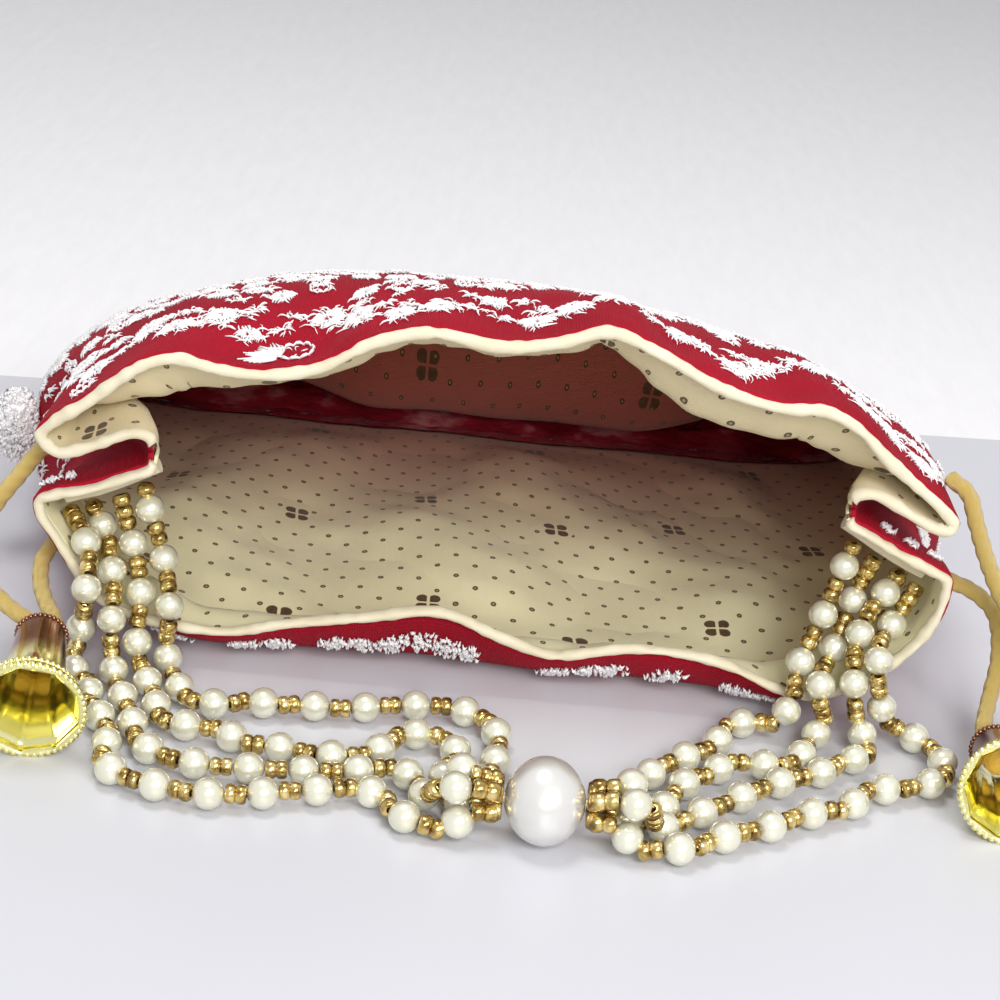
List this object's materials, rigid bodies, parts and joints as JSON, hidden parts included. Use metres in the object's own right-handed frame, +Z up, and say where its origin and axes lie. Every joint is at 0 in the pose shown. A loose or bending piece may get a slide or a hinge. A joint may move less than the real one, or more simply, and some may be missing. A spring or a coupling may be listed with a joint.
{
  "type": "potli bag",
  "caption": "Lined drawstring pouch of red embroidered cloth lying on its side, mouth open, with a strand handle of pearls and seed beads and bell ends.",
  "frame": {"origin": "middle of the flat underside, on the table", "axes": "+X to the bag's right as seen from its mouth, -Y out of the mouth, +Z up"},
  "size_m": [0.2186, 0.2388, 0.0795],
  "materials": {
    "red_cloth": "deep red satin weave with white raised thread embroidery",
    "lining_cloth": "matt cream cotton",
    "cord": "satin twisted cord",
    "gold": "polished gold plate",
    "pearl": "pearl lustre",
    "beads": "pearl lustre with gold seed beads between",
    "white_thread": "fluffy thread"
  },
  "bodies": {
    "bag": {"top_outer_panel": "red_cloth", "bottom_outer_panel": "red_cloth", "top_lining": "lining_cloth", "bottom_lining": "lining_cloth", "top_mouth_binding": "lining_cloth", "bottom_mouth_binding": "lining_cloth", "top_drawstring_run": "cord", "bottom_drawstring_run": "cord", "left_cord_upper": "cord", "left_cord_lower": "cord", "right_cord_upper": "cord", "right_cord_lower": "cord", "left_cord_knot": "cord", "right_cord_knot": "cord", "left_strand_1": "beads", "left_strand_2": "beads", "left_strand_3": "beads", "left_strand_4": "beads", "right_strand_1": "beads", "right_strand_2": "beads", "right_strand_3": "beads", "right_strand_4": "beads", "core_thread": "white_thread", "handle_anchor_left": "white_thread", "handle_anchor_right": "white_thread", "side_tuft": "white_thread"},
    "centre_pearl": {"centre_pearl": "pearl"},
    "left_bell": {"left_bell": "gold"},
    "right_bell": {"right_bell": "gold"}
  },
  "joints": [
    {"name": "centre_pearl_spin", "type": "hinge", "parent": "bag", "child": "centre_pearl", "pos_m": [0.013, -0.1408, 0.008], "axis": [1, 0, 0], "continuous": true},
    {"name": "left_bell_swivel", "type": "hinge", "parent": "bag", "child": "left_bell", "pos_m": [-0.0812, -0.1309, 0.0102], "axis": [0.1374, -0.9858, -0.097], "continuous": true},
    {"name": "right_bell_swivel", "type": "hinge", "parent": "bag", "child": "right_bell", "pos_m": [0.099, -0.126, 0.0102], "axis": [-0.06, -0.9763, 0.2081], "continuous": true}
  ]
}
